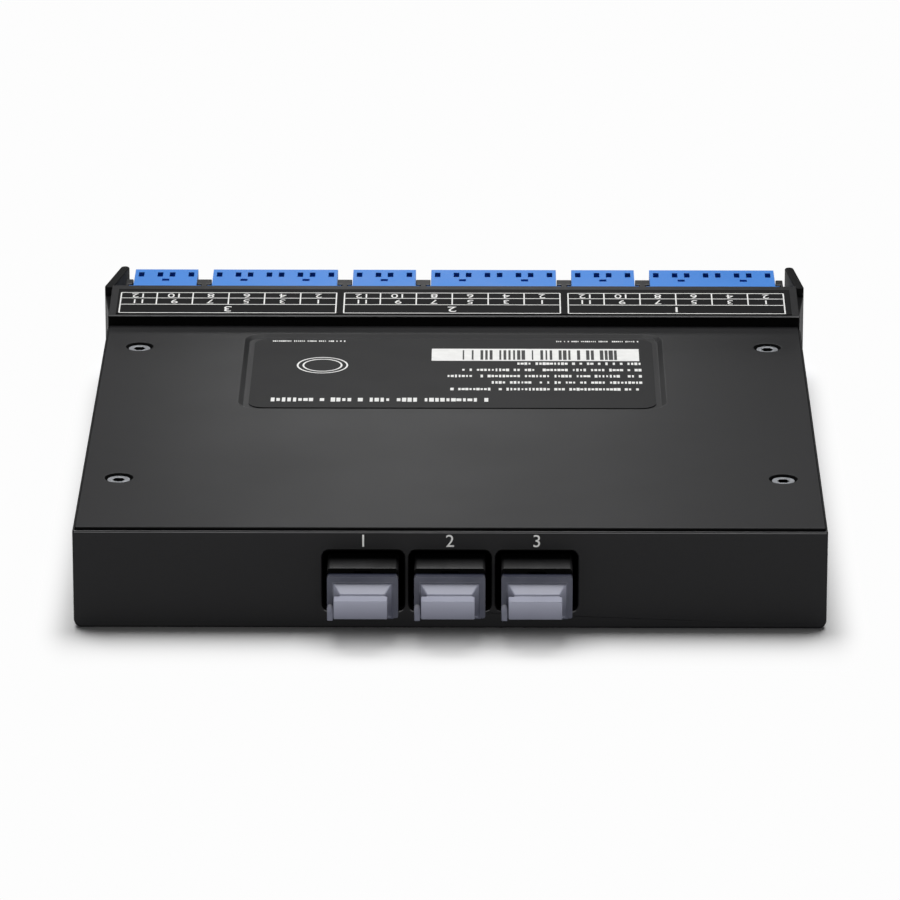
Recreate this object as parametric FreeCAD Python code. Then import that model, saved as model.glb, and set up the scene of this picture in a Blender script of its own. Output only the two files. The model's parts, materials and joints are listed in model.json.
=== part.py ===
import FreeCAD, Part
import math
import os

# Half-height fibre cassette: three multi-fibre ports at the rear, two rows of LC ports at the front.
# X runs across, Y from the multi-fibre ports to the LC ports, Z up. Everything is laid out from the
# outer face of the rear wall (y = 0), and save() moves it so that the origin is the middle of the
# flat underside. All sizes are in millimetres.

# housing
body_width = 137.1
wall = 2.0
floor_thickness = 1.8
cover_drop = 2.2
bottom_radius = 1.5
edge_radius = 0.4
seat_gap = 0.1
fine_sides = 6

# top cover
cover_length = 119.2
cover_inset = 0.45
cover_flange = 0.6
cover_lip = 1.2
cover_chamfer = 0.1
recess_width = 82.0
recess_length = 46.2
recess_front_margin = 5.3
recess_depth = 0.6
recess_slope = 1.0
recess_radius = 4.0
label_margin = 1.0
label_thickness = 0.15

# cover screws
screw_x = 61.5
screw_rear_y = 27.6
screw_front_margin = 13.6
countersink_radius = 2.7
countersink_depth = 1.3
screw_head_radius = 2.15
screw_head_drop = 0.4
screw_shank_radius = 0.95
screw_length = 9.0
screw_socket_radius = 1.15
screw_socket_depth = 0.8
pilot_clearance = 0.05
boss_radius = 2.6
boss_rib = 1.2

# front bezel
bezel_width = 136.8
ridge_roof = 1.2
ridge_length = 16.9
ridge_rise = 0.95
ridge_wall = 1.5
bottom_slab = 1.1
slab_clearance = 0.1
collar_length = 5.7
collar_wall = 1.0
comb_rise = 0.25
comb_start = 7.0
comb_length = 24.3
side_wall = 1.4
hinge_bay_wall = 0.8
hinge_bay_drop = 0.8

# LC adapters, two rows placed belly to belly
lc_pitch = 6.25
lc_ports = (2, 4, 2, 4, 2, 4)
lc_margin = 0.15
lc_gap = 3.1
lc_height = 9.6
lc_length = 24.8
lc_row_gap = 0.5
lc_start = 7.2
lc_fit = 0.1
lc_flange_y = 19.6
lc_flange_thickness = 1.5
lc_flange_reach = 0.9
lc_flange_inset = 0.9
lc_belly = 1.3
lc_port = 4.6
lc_key_width = 3.2
lc_key_height = 2.2
lc_web = 6.4
lc_bore_radius = 0.8
lc_window_width = 1.1
lc_window_length = 2.9
lc_window_offset = 1.9
lc_window_end = 2.2
lc_notch_size = 1.4
lc_notch_depth = 1.8
lc_rim_chamfer = 0.3

# dust plugs in the outer LC ports
plug_fit = 0.1
plug_depth = 5.5
plug_flange_thickness = 1.2
plug_flange_width = 11.2
plug_flange_overlap = 0.4
plug_grip_width = 8.4
plug_grip_height = 2.2
plug_grip_length = 4.2
plug_grip_chamfer = 0.6
plug_seat = 0.1

# LC connectors on the inside
inner_nose = 8.8
inner_body_length = 7.0
inner_boot_width = 2.4
inner_boot_length = 5.0

# rear ports and their adapters
mpo_pitch = 15.75
pocket_width = 14.8
pocket_bottom = 3.4
pocket_height = 11.5
pocket_radius = 1.2
mpo_width = 12.85
mpo_height = 9.6
mpo_bottom = 4.15
mpo_reach = 6.0
mpo_length = 24.0
mpo_port_width = 10.2
mpo_port_height = 7.2
mpo_key_width = 3.2
mpo_key_height = 0.6
mpo_web = 2.0
mpo_web_width = 7.4
mpo_web_height = 3.2
mpo_flange_reach = 1.0
mpo_flange_thickness = 1.5
mpo_edge_chamfer = 0.4
bracket_y = 6.5
bracket_wall = 1.5
bracket_rise = 0.4
bracket_margin = 1.6

# dust caps on the rear adapters
cap_fit = 0.1
cap_depth = 7.0
cap_flange_height = 7.9
cap_flange_margin = 0.75
cap_flange_thickness = 1.9
cap_flange_radius = 0.4
cap_base_width = 10.7
cap_base_height = 6.6
cap_neck_width = 8.1
cap_neck_height = 4.0
cap_taper_length = 2.5
cap_grip_width = 9.7
cap_grip_height = 3.5
cap_grip_length = 2.7
cap_grip_drop = 0.65
cap_grip_shift = 0.3
cap_lug_width = 1.1
cap_lug_height = 2.7
cap_lug_length = 1.6
cap_seat = 0.1

# multi-fibre connectors and harnesses on the inside
mpo_plug_depth = 6.0
mpo_plug_width = 12.4
mpo_plug_height = 7.6
mpo_plug_length = 16.0
mpo_boot_width = 7.0
mpo_boot_height = 5.0
mpo_boot_length = 12.0
sheath_radius = 1.5
sheath_sides = 8
fan_out_pitch = 42.0
fan_out_y = 74.0
fan_out_width = 12.0
fan_out_height = 4.0
fan_out_length = 10.0
fibre_radius = 0.45
fibre_spacing = 1.6
fibre_row_spacing = 2.0

# side latches
latch_thickness = 1.8
latch_bottom = 8.4
latch_arm_top = 19.9
latch_ear_top = 21.6
latch_flare = 1.45
latch_kink_y = 18.5
latch_tip_y = 30.8
latch_left_inset = 2.5
latch_right_inset = 1.5
latch_ear_start = 17.5
latch_pivot_y = 3.8
latch_pivot_inset = 1.95
latch_barrel_radius = 1.7
latch_pin_radius = 1.0
latch_pin_fit = 0.05

# port label on the ridge
strip_side_margin = 1.5
strip_start = 0.9
strip_length = 13.6
strip_thickness = 0.15

# heights and depths that follow from the sizes above
half_width = body_width / 2
inner_half = half_width - wall
ridge_back_y = cover_length + ridge_length
body_length = cover_length + comb_length
lower_row_top = bottom_slab + slab_clearance
upper_row_belly = lower_row_top + lc_height + lc_row_gap
upper_row_top = upper_row_belly + lc_height
row_mirror_z = upper_row_belly - lc_row_gap / 2
slab_under = upper_row_top + slab_clearance
ridge_back_top = slab_under + ridge_roof
ridge_front_top = ridge_back_top - ridge_rise
comb_top = upper_row_top + comb_rise
wall_top = upper_row_top - cover_drop
cover_top = wall_top + cover_flange
bay_ceiling = slab_under - hinge_bay_drop
lc_rear_y = cover_length + lc_start
lc_front_y = lc_rear_y + lc_length
lc_mid_y = (lc_rear_y + lc_front_y) / 2
port_centre_z = upper_row_belly + lc_belly + lc_port / 2
mpo_centre_z = mpo_bottom + mpo_height / 2
mpo_x = [(index - 1) * mpo_pitch for index in range(3)]
screw_y = (screw_rear_y, cover_length - screw_front_margin)


def vector(x, y, z):
    return FreeCAD.Vector(x, y, z)


def block(x0, x1, y0, y1, z0, z1):
    return Part.makeBox(x1 - x0, y1 - y0, z1 - z0, vector(x0, y0, z0))


def centred(x, half, y0, y1, z0, z1):
    return block(x - half, x + half, y0, y1, z0, z1)


def rectangle_y(x, z, width, height, y):
    """A rectangle that faces along Y."""
    corners = [
        vector(x - width / 2, y, z - height / 2),
        vector(x + width / 2, y, z - height / 2),
        vector(x + width / 2, y, z + height / 2),
        vector(x - width / 2, y, z + height / 2),
    ]
    return Part.makePolygon(corners + corners[:1])


def edges_along(shape, direction):
    return [
        edge for edge in shape.Edges
        if edge.Curve.TypeId == "Part::GeomLine"
        and abs(abs(edge.tangentAt(edge.FirstParameter).dot(direction)) - 1) < 1e-6
    ]


def rounded(shape, radius, direction):
    """The shape with its edges along one direction rounded."""
    return shape.makeFillet(radius, edges_along(shape, direction))


def polygon_y(x, z, radius, y, sides):
    """A closed regular outline that faces along Y, for thin round things that repeat."""
    turns = [2 * math.pi * corner / sides for corner in range(sides)]
    corners = [
        vector(x + radius * math.cos(turn), y, z + radius * math.sin(turn)) for turn in turns
    ]
    return Part.makePolygon(corners + corners[:1])


def cylinder_z(x, y, radius, z0, z1):
    return Part.makeCylinder(radius, z1 - z0, vector(x, y, z0))


def fused(shapes):
    return shapes[0].multiFuse(shapes[1:]).removeSplitter()


def mirrored_x(shape):
    return shape.mirror(vector(0, 0, 0), vector(1, 0, 0))


def lower_row(shape):
    """The same piece turned over into the lower row."""
    return shape.mirror(vector(0, 0, row_mirror_z), vector(0, 0, 1))


def save(name, shape):
    placed = shape.copy()
    placed.translate(vector(0, -body_length / 2, 0))
    placed.exportStep(f"parts/{name}.step")


def adapter_layout():
    """The left edge, width and port centres of each LC adapter, from left to right."""
    widths = [count * lc_pitch + lc_margin for count in lc_ports]
    left = -(sum(widths) + lc_gap * (len(widths) - 1)) / 2
    layout = []
    for count, width in zip(lc_ports, widths):
        first = left + lc_margin / 2 + lc_pitch / 2
        layout.append((left, width, [first + port * lc_pitch for port in range(count)]))
        left += width + lc_gap
    return layout


def rounded_envelope(half, y0, y1, height):
    """A long block whose two bottom side edges are rounded."""
    shape = block(-half, half, y0, y1, 0, height)
    edges = [
        edge for edge in shape.Edges
        if abs(edge.CenterOfMass.z) < 1e-6 and abs(abs(edge.CenterOfMass.x) - half) < 1e-6
    ]
    return shape.makeFillet(bottom_radius, edges)


def base_housing():
    shell = rounded_envelope(half_width, 0, cover_length, wall_top)
    rear_corners = [
        edge for edge in shell.Edges
        if abs(edge.CenterOfMass.y) < 1e-6 and abs(abs(edge.CenterOfMass.x) - half_width) < 1e-6
    ]
    shell = shell.makeFillet(edge_radius, rear_corners)
    cavity = block(-inner_half, inner_half, wall, cover_length, floor_thickness, wall_top)
    shell = shell.cut(cavity)
    boss_top = wall_top - cover_lip
    bracket_half = mpo_pitch + mpo_width / 2 + mpo_flange_reach + bracket_margin
    bracket_top = mpo_bottom + mpo_height + bracket_rise
    walls = [shell]
    for y in (bracket_y, bracket_y + bracket_wall + mpo_flange_thickness):
        walls.append(centred(0, bracket_half, y, y + bracket_wall, floor_thickness, bracket_top))
    for x in (-bracket_half, bracket_half - bracket_wall):
        walls.append(block(x, x + bracket_wall, wall, bracket_y, floor_thickness, bracket_top))
    for x in (-screw_x, screw_x):
        side = math.copysign(1, x)
        wall_x = side * inner_half
        for y in screw_y:
            walls.append(cylinder_z(x, y, boss_radius, floor_thickness, boss_top))
            walls.append(block(min(x, wall_x), max(x, wall_x), y - boss_rib / 2, y + boss_rib / 2,
                               floor_thickness, boss_top))
    shape = fused(walls)
    for x in mpo_x:
        pocket = centred(x, pocket_width / 2, 0, wall, pocket_bottom, pocket_bottom + pocket_height)
        shape = shape.cut(rounded(pocket, pocket_radius, vector(0, 1, 0)))
        slot_half = mpo_width / 2 + seat_gap
        shape = shape.cut(centred(x, slot_half, bracket_y,
                                  bracket_y + 2 * bracket_wall + mpo_flange_thickness,
                                  mpo_bottom, bracket_top))
    pilot_radius = screw_shank_radius + pilot_clearance
    for x in (-screw_x, screw_x):
        for y in screw_y:
            shape = shape.cut(cylinder_z(x, y, pilot_radius, cover_top - screw_length, boss_top))
    return shape


def rounded_rectangle(x, y, width, length, radius, z):
    """A closed outline with rounded corners that faces along Z."""
    thin = block(x - width / 2, x + width / 2, y - length / 2, y + length / 2, z, z + 1)
    thin = rounded(thin, radius, vector(0, 0, 1))
    lowest = min(thin.Faces, key=lambda face: face.CenterOfMass.z)
    return lowest.OuterWire


def recess_centre_y():
    return cover_length - recess_front_margin - recess_length / 2


def top_cover():
    half = half_width - cover_inset
    front = cover_length - seat_gap
    flange = block(-half, half, cover_inset, front, wall_top, cover_top)
    top_face = max(flange.Faces, key=lambda face: face.CenterOfMass.z)
    flange = flange.makeChamfer(cover_chamfer, top_face.Edges)
    lip_half = inner_half - seat_gap
    lip = block(-lip_half, lip_half, wall + seat_gap, front, wall_top - cover_lip, wall_top)
    shape = flange.fuse(lip).removeSplitter()
    outer = rounded_rectangle(0, recess_centre_y(), recess_width, recess_length,
                              recess_radius, cover_top)
    inner = rounded_rectangle(0, recess_centre_y(), recess_width - 2 * recess_slope,
                              recess_length - 2 * recess_slope,
                              recess_radius - recess_slope, cover_top - recess_depth)
    shape = shape.cut(Part.makeLoft([outer, inner], True, True))
    hole_radius = countersink_radius - countersink_depth
    for x in (-screw_x, screw_x):
        for y in screw_y:
            cone = Part.makeCone(hole_radius, countersink_radius, countersink_depth,
                                 vector(x, y, cover_top - countersink_depth))
            hole = cylinder_z(x, y, hole_radius, wall_top - cover_lip, cover_top)
            shape = shape.cut(cone.fuse(hole))
    return shape


def recess_label():
    width = recess_width - 2 * (recess_slope + label_margin)
    length = recess_length - 2 * (recess_slope + label_margin)
    z = cover_top - recess_depth
    outline = rounded_rectangle(0, recess_centre_y(), width, length,
                                recess_radius - recess_slope, z)
    return Part.Face(outline).extrude(vector(0, 0, label_thickness))


def cover_screw(x, y):
    top = cover_top - screw_head_drop
    taper = screw_head_radius - screw_shank_radius
    head = Part.makeCone(screw_shank_radius, screw_head_radius, taper, vector(x, y, top - taper))
    shank = cylinder_z(x, y, screw_shank_radius, cover_top - screw_length, top - taper)
    corners = [
        vector(x + screw_socket_radius * math.cos(turn * math.pi / 3),
               y + screw_socket_radius * math.sin(turn * math.pi / 3), top)
        for turn in range(6)
    ]
    socket = Part.Face(Part.makePolygon(corners + corners[:1]))
    return head.fuse(shank).removeSplitter().cut(socket.extrude(vector(0, 0, -screw_socket_depth)))


def cover_screws():
    return Part.makeCompound([cover_screw(x, y) for x in (-screw_x, screw_x) for y in screw_y])


def ridge_profile():
    """Section of the step wall and the sloping ridge, from the cover to its back edge."""
    wall_back = cover_length + ridge_wall
    points = [
        (cover_length, wall_top - cover_lip - seat_gap),
        (cover_length, ridge_front_top),
        (ridge_back_y, ridge_back_top),
        (ridge_back_y, slab_under),
        (cover_length + comb_start, slab_under),
        (cover_length + comb_start, bay_ceiling),
        (wall_back, bay_ceiling),
        (wall_back, wall_top - cover_lip - seat_gap),
    ]
    half = bezel_width / 2
    outline = [vector(-half, y, z) for y, z in points]
    face = Part.Face(Part.makePolygon(outline + outline[:1]))
    return face.extrude(vector(bezel_width, 0, 0))


def pivot_x():
    return bezel_width / 2 - latch_pivot_inset + seat_gap


def front_bezel():
    half = bezel_width / 2
    layout = adapter_layout()
    outer_edge = -layout[0][0] + lc_fit
    comb_front = cover_length + comb_length
    wall_y = cover_length + comb_start - hinge_bay_wall
    bay_x = pivot_x() - latch_barrel_radius - 2 * seat_gap
    pieces = [
        ridge_profile(),
        block(-half, half, cover_length, ridge_back_y, 0, bottom_slab),
        block(-outer_edge - side_wall, outer_edge + side_wall, ridge_back_y, comb_front,
              0, bottom_slab),
        block(-inner_half + seat_gap, inner_half - seat_gap, cover_length - collar_length,
              cover_length, floor_thickness, floor_thickness + collar_wall),
        block(-inner_half + seat_gap, inner_half - seat_gap, cover_length,
              cover_length + ridge_wall, bottom_slab, floor_thickness + collar_wall),
    ]
    sides = []
    comb_y = cover_length + comb_start
    for y0, y1, top in ((wall_y, comb_y, bay_ceiling), (comb_y, ridge_back_y, slab_under),
                        (ridge_back_y, comb_front, comb_top)):
        sides.append(block(outer_edge, outer_edge + side_wall, y0, y1, bottom_slab, top))
    sides.append(block(bay_x - hinge_bay_wall, outer_edge + side_wall, wall_y,
                       wall_y + hinge_bay_wall, bottom_slab, bay_ceiling))
    sides.append(block(bay_x - hinge_bay_wall, bay_x, cover_length, wall_y,
                       bottom_slab, bay_ceiling))
    sides.append(block(bay_x - hinge_bay_wall, half, cover_length, cover_length + ridge_wall,
                       bottom_slab, ridge_front_top - ridge_rise))
    sides.append(block(bay_x - hinge_bay_wall, inner_half - seat_gap, cover_length - collar_length,
                       cover_length, floor_thickness, wall_top - cover_lip - seat_gap))
    pieces += sides + [mirrored_x(side) for side in sides]
    for (left, width, _), (next_left, _, _) in zip(layout, layout[1:]):
        x0 = left + width + lc_fit
        x1 = next_left - lc_fit
        pieces.append(block(x0, x1, comb_y, ridge_back_y, bottom_slab, slab_under))
        pieces.append(block(x0, x1, ridge_back_y, comb_front, bottom_slab, comb_top))
    shape = fused(pieces)
    flange_y = cover_length + lc_flange_y
    slot_belly = lc_flange_inset - lc_fit
    for left, width, _ in layout:
        for low, high in ((lower_row_top, lower_row_top + lc_height - slot_belly),
                          (upper_row_belly + slot_belly, comb_top)):
            slot = block(left - lc_flange_reach - lc_fit, left + width + lc_flange_reach + lc_fit,
                         flange_y, flange_y + lc_flange_thickness, low, high)
            shape = shape.cut(slot)
    envelope = rounded_envelope(half, cover_length - collar_length, comb_front, ridge_back_top + 1)
    return shape.common(envelope)


def lc_adapter(left, width, ports):
    """One adapter of the upper row, with its latch channels on top."""
    z0 = upper_row_belly
    top = upper_row_top
    body = block(left, left + width, lc_rear_y, lc_front_y, z0, top)
    rim = max(body.Faces, key=lambda face: face.CenterOfMass.y)
    body = body.makeChamfer(lc_rim_chamfer, rim.Edges)
    flange_y = cover_length + lc_flange_y
    flange = block(left - lc_flange_reach, left + width + lc_flange_reach, flange_y,
                   flange_y + lc_flange_thickness, z0 + lc_flange_inset, top)
    shape = body.fuse(flange).removeSplitter()
    square_top = z0 + lc_belly + lc_port
    cuts = []
    for x in ports:
        cuts.append(centred(x, lc_port / 2, lc_rear_y, lc_mid_y - lc_web / 2,
                            z0 + lc_belly, square_top))
        cuts.append(centred(x, lc_port / 2, lc_mid_y + lc_web / 2, lc_front_y,
                            z0 + lc_belly, square_top))
        cuts.append(centred(x, lc_key_width / 2, lc_mid_y + lc_web / 2, lc_front_y,
                            square_top, square_top + lc_key_height))
        window_y = lc_front_y - lc_window_end - lc_window_length
        for side in (-1, 1):
            cuts.append(centred(x + side * lc_window_offset, lc_window_width / 2, window_y,
                                window_y + lc_window_length, square_top, top))
        bore = polygon_y(x, port_centre_z, lc_bore_radius, lc_mid_y - lc_web, fine_sides)
        cuts.append(Part.Face(bore).extrude(vector(0, 2 * lc_web, 0)))
    for first, second in zip(ports[::2], ports[1::2]):
        middle = (first + second) / 2
        notch_y = window_y - lc_notch_size
        cuts.append(centred(middle, lc_notch_size / 2, notch_y - lc_notch_size, notch_y,
                            top - lc_notch_depth, top))
    return shape.cut(cuts[0].multiFuse(cuts[1:]))


def lc_dust_plug(first, second):
    """A duplex plug that closes two neighbouring ports of the upper row."""
    half = lc_port / 2 - plug_fit
    seat = lc_front_y + plug_seat
    middle = (first + second) / 2
    pieces = [
        centred(x, half, lc_front_y - plug_depth, seat, port_centre_z - half, port_centre_z + half)
        for x in (first, second)
    ]
    flange_half = lc_port / 2 + plug_flange_overlap
    pieces.append(centred(middle, plug_flange_width / 2, seat, seat + plug_flange_thickness,
                          port_centre_z - flange_half, port_centre_z + flange_half))
    grip_y = seat + plug_flange_thickness
    grip = centred(middle, plug_grip_width / 2, grip_y, grip_y + plug_grip_length,
                   port_centre_z - plug_grip_height / 2, port_centre_z + plug_grip_height / 2)
    end = max(grip.Faces, key=lambda face: face.CenterOfMass.y)
    pieces.append(grip.makeChamfer(plug_grip_chamfer, end.Edges))
    return fused(pieces)


def inner_lc_connector(x):
    """One connector inside the cassette, plugged into the upper row."""
    half = lc_port / 2 - plug_fit
    nose_y = lc_rear_y + inner_nose
    body_y = lc_rear_y - inner_body_length
    body = centred(x, half, body_y, nose_y, port_centre_z - half, port_centre_z + half)
    boot_half = inner_boot_width / 2
    boot = centred(x, boot_half, body_y - inner_boot_length, body_y,
                   port_centre_z - boot_half, port_centre_z + boot_half)
    return fused([body, boot])


def mpo_adapter(x):
    y1 = mpo_length - mpo_reach
    body = centred(x, mpo_width / 2, -mpo_reach, y1, mpo_bottom, mpo_bottom + mpo_height)
    body = body.makeChamfer(mpo_edge_chamfer, edges_along(body, vector(0, 1, 0)))
    flange_y = bracket_y + bracket_wall
    flange = centred(x, mpo_width / 2 + mpo_flange_reach, flange_y,
                     flange_y + mpo_flange_thickness, mpo_bottom,
                     mpo_bottom + mpo_height)
    shape = body.fuse(flange).removeSplitter()
    web_y = y1 / 2 - mpo_reach / 2 - mpo_web / 2
    low = mpo_centre_z - mpo_port_height / 2
    high = mpo_centre_z + mpo_port_height / 2
    for y0, end in ((-mpo_reach, web_y), (web_y + mpo_web, y1)):
        shape = shape.cut(centred(x, mpo_port_width / 2, y0, end, low, high))
        shape = shape.cut(centred(x, mpo_key_width / 2, y0, end, high, high + mpo_key_height))
    return shape.cut(centred(x, mpo_web_width / 2, web_y, web_y + mpo_web,
                             mpo_centre_z - mpo_web_height / 2, mpo_centre_z + mpo_web_height / 2))


def mpo_cap(x):
    """Dust cap: a plug in the port, a flange with a corner lug, a tapered neck and a grip."""
    seat = -mpo_reach - cap_seat
    plug = centred(x, mpo_port_width / 2 - cap_fit, seat, -mpo_reach + cap_depth,
                   mpo_centre_z - mpo_port_height / 2 + cap_fit,
                   mpo_centre_z + mpo_port_height / 2 - cap_fit)
    base_y = seat - cap_flange_thickness
    bottom = mpo_bottom + cap_flange_margin
    flange = centred(x, mpo_width / 2, base_y, seat, bottom, bottom + cap_flange_height)
    flange = rounded(flange, cap_flange_radius, vector(0, 1, 0))
    neck_y = base_y - cap_taper_length
    grip_z = mpo_centre_z - cap_grip_drop
    base = rectangle_y(x, grip_z, cap_base_width, cap_base_height, base_y)
    neck = rectangle_y(x, grip_z, cap_neck_width, cap_neck_height, neck_y)
    taper = Part.makeLoft([base, neck], True, True)
    grip = centred(x - cap_grip_shift, cap_grip_width / 2, neck_y - cap_grip_length, neck_y,
                   grip_z - cap_grip_height / 2, grip_z + cap_grip_height / 2)
    lug_x = x - mpo_width / 2 + cap_lug_width / 2
    lug = centred(lug_x, cap_lug_width / 2, base_y - cap_lug_length, base_y,
                  bottom, bottom + cap_lug_height - cap_lug_width / 2)
    crown = Part.makeCylinder(cap_lug_width / 2, cap_lug_length,
                              vector(lug_x, base_y - cap_lug_length,
                                     bottom + cap_lug_height - cap_lug_width / 2),
                              vector(0, 1, 0))
    return fused([plug, flange, taper, grip, lug, crown])


def mpo_plug_rear_y():
    return mpo_length - mpo_reach + mpo_plug_length


def mpo_connector(x):
    """The connector inside the cassette, with a tapered boot round its fibre sheath."""
    y0 = mpo_length - mpo_reach
    nose = centred(x, mpo_port_width / 2 - cap_fit, y0 - mpo_plug_depth, y0,
                   mpo_centre_z - mpo_port_height / 2 + cap_fit,
                   mpo_centre_z + mpo_port_height / 2 - cap_fit)
    rear_y = mpo_plug_rear_y()
    body = centred(x, mpo_plug_width / 2, y0, rear_y, mpo_centre_z - mpo_plug_height / 2,
                   mpo_centre_z + mpo_plug_height / 2)
    boot = Part.makeLoft([
        rectangle_y(x, mpo_centre_z, mpo_boot_width, mpo_boot_height, rear_y),
        rectangle_y(x, mpo_centre_z, 2.4 * sheath_radius, 2.4 * sheath_radius,
                    rear_y + mpo_boot_length),
    ], True, True)
    return fused([nose, body, boot])


def sheath(x0, x1, y0, y1, z):
    """A round sheath that swings across in two equal tangent arcs."""
    offset = x1 - x0
    run = y1 - y0
    outline = polygon_y(x0, z, sheath_radius, y0, sheath_sides)
    if abs(offset) < seat_gap:
        return Part.Face(outline).extrude(vector(0, run, 0))
    turn = 2 * math.atan2(abs(offset), run)
    radius = run / (2 * math.sin(turn))
    side = math.copysign(1, offset)

    def on_first(angle):
        return vector(x0 + side * radius * (1 - math.cos(angle)), y0 + radius * math.sin(angle), z)

    def on_second(angle):
        return vector(x1 - side * radius * (1 - math.cos(angle)), y1 - radius * math.sin(angle), z)

    arcs = [
        Part.Arc(on_first(0), on_first(turn / 2), on_first(turn)).toShape(),
        Part.Arc(on_second(turn), on_second(turn / 2), on_second(0)).toShape(),
    ]
    return Part.Wire(arcs).makePipeShell([outline], True, False)


def fibre_harness(index, ports):
    """Sheath, furcation block and twelve fibres of one rear port."""
    fan_x = (index - 1) * fan_out_pitch
    start = mpo_plug_rear_y() + mpo_boot_length
    front = fan_out_y + fan_out_length
    pieces = [
        sheath(mpo_x[index], fan_x, start, fan_out_y, mpo_centre_z),
        centred(fan_x, fan_out_width / 2, fan_out_y, front, mpo_centre_z - fan_out_height / 2,
                mpo_centre_z + fan_out_height / 2),
    ]
    boot_y = lc_rear_y - inner_body_length - inner_boot_length
    upper = port_centre_z
    lower = 2 * row_mirror_z - port_centre_z
    for column, port_x in enumerate(ports):
        from_x = fan_x + (column - (len(ports) - 1) / 2) * fibre_spacing
        for side, port_z in ((1, upper), (-1, lower)):
            from_z = mpo_centre_z + side * fibre_row_spacing / 2
            outline = polygon_y(from_x, from_z, fibre_radius, front, fine_sides)
            reach = vector(port_x - from_x, boot_y - front, port_z - from_z)
            pieces.append(Part.Face(outline).extrude(reach))
    return fused(pieces)


def latch_path(tip_inset):
    """Centre line of a right latch, from its pivot to the tip of its ear."""
    arm_x = bezel_width / 2 - latch_thickness / 2
    kink_x = half_width + latch_flare - latch_thickness / 2
    return [
        vector(arm_x, cover_length + latch_pivot_y, 0),
        vector(kink_x, cover_length + latch_kink_y, 0),
        vector(kink_x - tip_inset, cover_length + latch_tip_y, 0),
    ]


def side_latch(tip_inset):
    """A right latch: a flared arm that turns on a pin and ends in a finger ear."""
    strip = Part.makePolygon(latch_path(tip_inset)).makeOffset2D(latch_thickness / 2, 0, True)
    arm = Part.Face(strip.Wires[0]) if not strip.Faces else strip.Faces[0]
    arm.translate(vector(0, 0, latch_bottom))
    arm = arm.extrude(vector(0, 0, latch_ear_top - latch_bottom))
    under_ridge = block(0, body_width, 0, cover_length + latch_ear_start, latch_arm_top, 100)
    arm = arm.cut(under_ridge)
    pivot_y = cover_length + latch_pivot_y
    barrel = cylinder_z(pivot_x(), pivot_y, latch_barrel_radius, latch_bottom, latch_arm_top)
    bore = cylinder_z(pivot_x(), pivot_y, latch_pin_radius + latch_pin_fit,
                      latch_bottom, latch_arm_top)
    return arm.fuse(barrel).cut(bore).removeSplitter()


def latch_pins():
    pivot_y = cover_length + latch_pivot_y
    return Part.makeCompound([
        cylinder_z(x, pivot_y, latch_pin_radius, bottom_slab, bay_ceiling)
        for x in (-pivot_x(), pivot_x())
    ])


def port_label_strip():
    half = bezel_width / 2 - strip_side_margin
    slope = math.atan2(ridge_rise, ridge_length)
    strip = block(-half, half, strip_start, strip_start + strip_length, 0, strip_thickness)
    strip.rotate(vector(0, 0, 0), vector(1, 0, 0), math.degrees(slope))
    strip.translate(vector(0, cover_length, ridge_front_top))
    return strip


def build():
    os.makedirs("parts", exist_ok=True)
    save("base_housing", base_housing())
    save("top_cover", top_cover())
    save("cover_screws", cover_screws())
    save("recess_label", recess_label())
    save("front_bezel", front_bezel())
    save("port_label_strip", port_label_strip())
    layout = adapter_layout()
    ports = [x for _, _, xs in layout for x in xs]
    for number, (left, width, xs) in enumerate(layout, 1):
        adapter = lc_adapter(left, width, xs)
        save(f"lc_adapter_upper_{number}", adapter)
        save(f"lc_adapter_lower_{number}", lower_row(adapter))
    for number, (first, second) in enumerate(zip(ports[::2], ports[1::2]), 1):
        plug = lc_dust_plug(first, second)
        save(f"lc_dust_plug_upper_{number}", plug)
        save(f"lc_dust_plug_lower_{number}", lower_row(plug))
    connectors = [inner_lc_connector(x) for x in ports]
    save("inner_lc_connectors_upper", Part.makeCompound(connectors))
    save("inner_lc_connectors_lower", Part.makeCompound([lower_row(item) for item in connectors]))
    per_harness = len(ports) // len(mpo_x)
    for index, x in enumerate(mpo_x):
        save(f"mpo_adapter_{index + 1}", mpo_adapter(x))
        save(f"mpo_cap_{index + 1}", mpo_cap(x))
        save(f"inner_mpo_connector_{index + 1}", mpo_connector(x))
        group = ports[index * per_harness:(index + 1) * per_harness]
        save(f"fibre_harness_{index + 1}", fibre_harness(index, group))
    save("latch_right", side_latch(latch_right_inset))
    save("latch_left", mirrored_x(side_latch(latch_left_inset)))
    save("latch_pins", latch_pins())


build()
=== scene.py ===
import json
import math
import bmesh
import bpy
from mathutils import Matrix, Vector

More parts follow.
